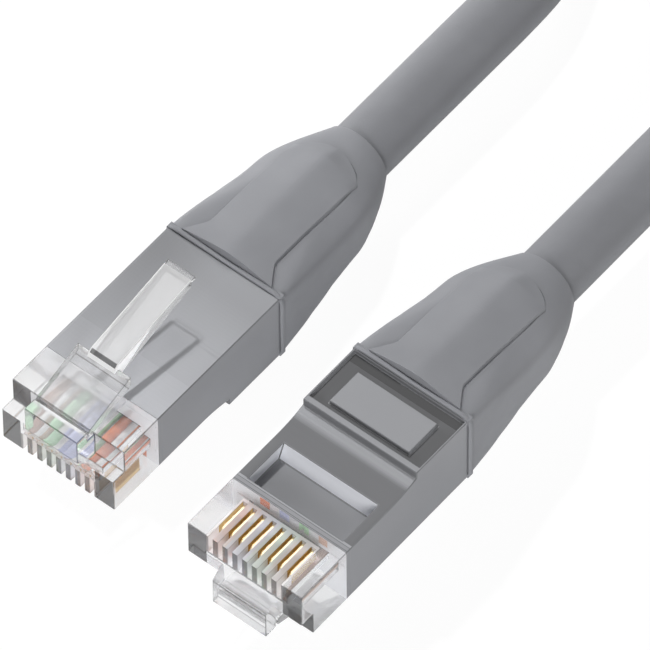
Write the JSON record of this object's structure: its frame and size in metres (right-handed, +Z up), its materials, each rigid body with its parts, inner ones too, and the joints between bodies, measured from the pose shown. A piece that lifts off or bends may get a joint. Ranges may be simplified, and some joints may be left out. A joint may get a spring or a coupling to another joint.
{
  "type": "ethernet patch cable",
  "caption": "Grey ethernet patch cable with clear modular plugs, sprung latches, gold contacts, coloured wires and moulded boots, the spare cord wound in a tied coil.",
  "frame": {"origin": "on the ground, midway between the plugs' noses and boots and midway between their axes: the bottom centre of the box of both plugs, without the cord", "axes": "+X along the plugs from nose to cord, +Y from the plug with its latch down to the one with its latch up, +Z up"},
  "size_m": [0.1472, 0.0567, 0.0134],
  "materials": {
    "clear_plastic": "clear polycarbonate, polished mould finish",
    "inner_mould_grey": "grey moulding seen through the clear housing",
    "boot_grey": "satin grey flexible plastic",
    "jacket_grey": "satin grey cable jacket",
    "contact_gold": "gold plated, bright",
    "tie_black": "black strap",
    "wire_brown": "wire insulation, brown",
    "wire_white_brown": "wire insulation, white brown",
    "wire_green": "wire insulation, green",
    "wire_white_blue": "wire insulation, white blue",
    "wire_blue": "wire insulation, blue",
    "wire_white_green": "wire insulation, white green",
    "wire_orange": "wire insulation, orange",
    "wire_white_orange": "wire insulation, white orange"
  },
  "bodies": {
    "cable": {"housing_a": "clear_plastic", "inner_mould_a": "inner_mould_grey", "boot_a": "boot_grey", "cable_end_a": "jacket_grey", "contact_a1": "contact_gold", "contact_a2": "contact_gold", "contact_a3": "contact_gold", "contact_a4": "contact_gold", "contact_a5": "contact_gold", "contact_a6": "contact_gold", "contact_a7": "contact_gold", "contact_a8": "contact_gold", "wire_a_brown": "wire_brown", "wire_a_white_brown": "wire_white_brown", "wire_a_green": "wire_green", "wire_a_white_blue": "wire_white_blue", "wire_a_blue": "wire_blue", "wire_a_white_green": "wire_white_green", "wire_a_orange": "wire_orange", "wire_a_white_orange": "wire_white_orange", "housing_b": "clear_plastic", "inner_mould_b": "inner_mould_grey", "boot_b": "boot_grey", "cable_end_b": "jacket_grey", "contact_b1": "contact_gold", "contact_b2": "contact_gold", "contact_b3": "contact_gold", "contact_b4": "contact_gold", "contact_b5": "contact_gold", "contact_b6": "contact_gold", "contact_b7": "contact_gold", "contact_b8": "contact_gold", "wire_b_brown": "wire_brown", "wire_b_white_brown": "wire_white_brown", "wire_b_green": "wire_green", "wire_b_white_blue": "wire_white_blue", "wire_b_blue": "wire_blue", "wire_b_white_green": "wire_white_green", "wire_b_orange": "wire_orange", "wire_b_white_orange": "wire_white_orange", "cable_lead_a": "jacket_grey", "cable_lead_b": "jacket_grey", "cable_coil": "jacket_grey", "tie": "tie_black"},
    "latch_lever_a": {"latch_a": "clear_plastic"},
    "latch_lever_b": {"latch_b": "clear_plastic"}
  },
  "joints": [
    {"name": "latch_a_press", "type": "hinge", "parent": "cable", "child": "latch_lever_a", "pos_m": [-0.01656, 0.01056, 0.00915], "axis": [0, 1, 0], "range_deg": [0, 12], "stiffness_Nm_per_rad": 0.15},
    {"name": "latch_b_press", "type": "hinge", "parent": "cable", "child": "latch_lever_b", "pos_m": [-0.01859, -0.01056, 0.00421], "axis": [0, -1, 0], "range_deg": [0, 12], "stiffness_Nm_per_rad": 0.15}
  ]
}
